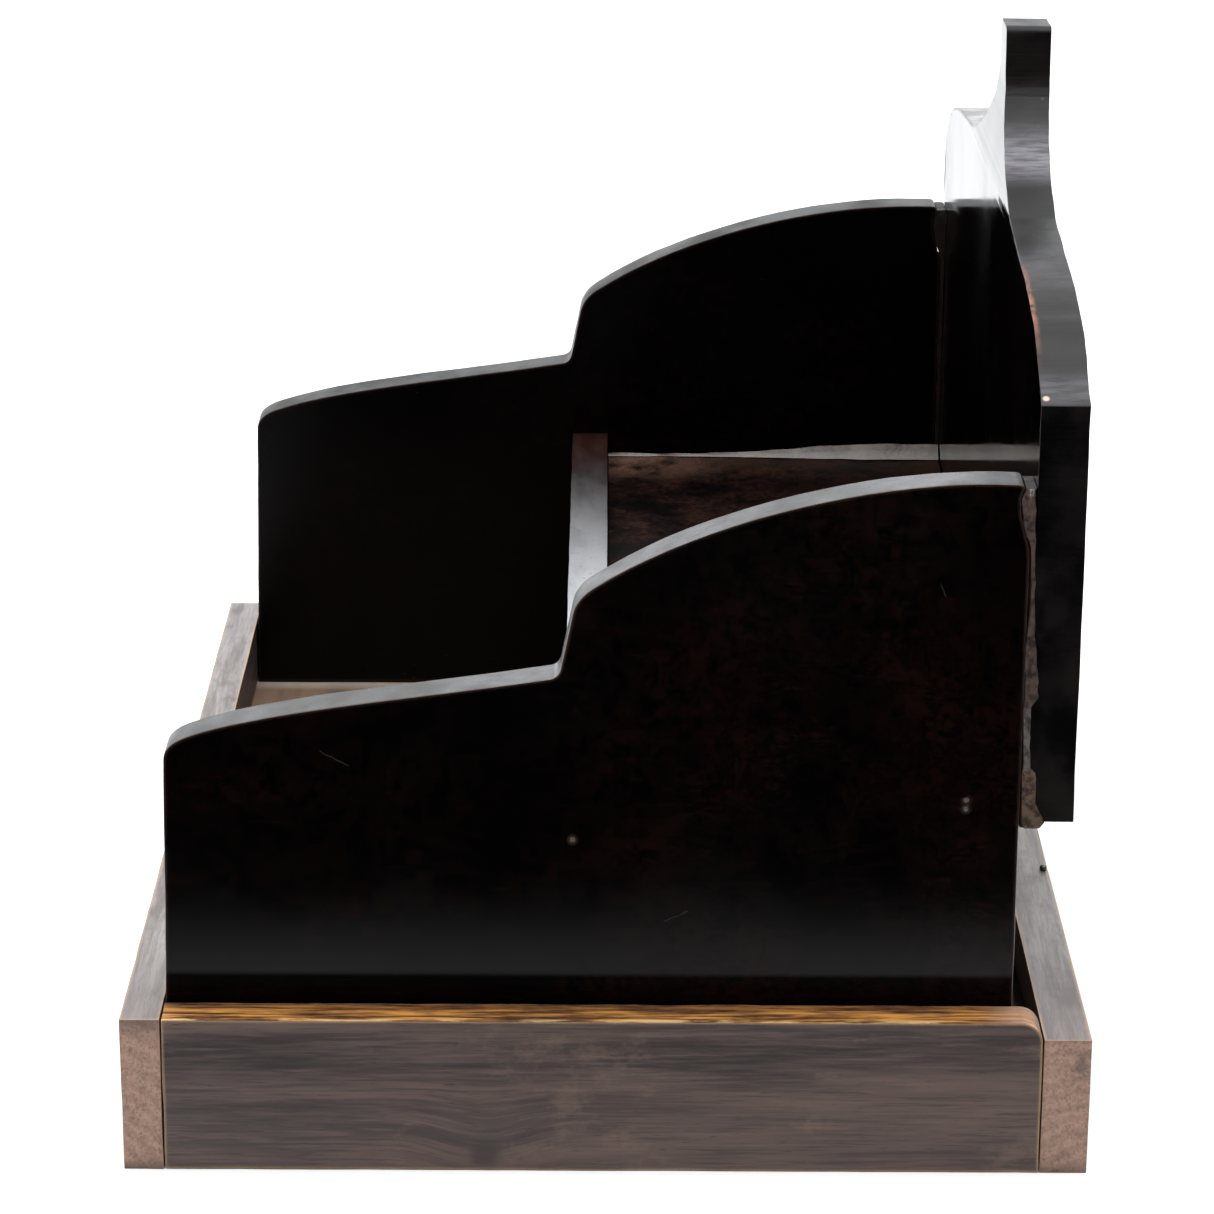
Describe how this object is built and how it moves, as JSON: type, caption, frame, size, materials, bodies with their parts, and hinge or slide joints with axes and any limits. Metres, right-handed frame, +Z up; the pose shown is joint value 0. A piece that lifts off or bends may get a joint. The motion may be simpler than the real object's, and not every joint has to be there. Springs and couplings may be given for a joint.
{
  "type": "desk rack with tray",
  "caption": "Dark lacquered two-level wooden desk rack with a scalloped back board, standing in a shallow walnut-stained tray it lifts out of.",
  "frame": {"origin": "middle of the tray's footprint, on the table", "axes": "+Z up, -Y the low front, +Y the tall back board, +X the right side"},
  "size_m": [0.352, 0.265, 0.286],
  "materials": {
    "dark_lacquer": "glossy black-brown lacquer, worn at the arrises",
    "tray_wood": "satin walnut stain, streaky grain",
    "tray_floor_wood": "thin satin stain, dusty",
    "steel": "dull, darkened",
    "putty": "matte wood filler",
    "glue": "dried brown-grey wood glue and filler"
  },
  "bodies": {
    "tray": {"back_rail_proud_brad": "steel", "tray_back_left_brad_1": "steel", "tray_back_left_brad_2": "steel", "tray_back_rail": "tray_wood", "tray_back_right_brad_1": "steel", "tray_back_right_brad_2": "steel", "tray_floor": "tray_floor_wood", "tray_front_left_brad_1": "steel", "tray_front_left_brad_2": "steel", "tray_front_rail": "tray_wood", "tray_front_right_brad_1": "steel", "tray_front_right_brad_2": "steel", "tray_left_rail": "tray_wood", "tray_right_rail": "tray_wood"},
    "rack": {"back_board": "dark_lacquer", "back_board_left_brad_1": "steel", "back_board_left_brad_2": "steel", "back_board_left_brad_3": "steel", "back_board_left_brad_filler_1": "putty", "back_board_left_brad_filler_2": "putty", "back_board_left_brad_filler_3": "putty", "back_board_right_brad_1": "steel", "back_board_right_brad_2": "steel", "back_board_right_brad_3": "steel", "back_board_right_brad_filler_1": "putty", "back_board_right_brad_filler_2": "putty", "back_board_right_brad_filler_3": "putty", "left_back_seam_glue": "glue", "left_panel_brad_1": "steel", "left_panel_brad_2": "steel", "left_panel_brad_3": "steel", "left_panel_brad_filler_1": "putty", "left_panel_brad_filler_2": "putty", "left_panel_brad_filler_3": "putty", "left_shelf_glue_bead": "glue", "left_side_panel": "dark_lacquer", "rear_shelf": "dark_lacquer", "right_back_seam_glue": "glue", "right_panel_brad_1": "steel", "right_panel_brad_2": "steel", "right_panel_brad_3": "steel", "right_panel_brad_filler_1": "putty", "right_panel_brad_filler_2": "putty", "right_panel_brad_filler_3": "putty", "right_shelf_glue_bead": "glue", "right_side_panel": "dark_lacquer", "step_divider": "dark_lacquer"}
  },
  "joints": [
    {"name": "rack_lift", "type": "slide", "parent": "tray", "child": "rack", "axis": [0, 0, 1], "range_m": [0, 0.06]}
  ]
}
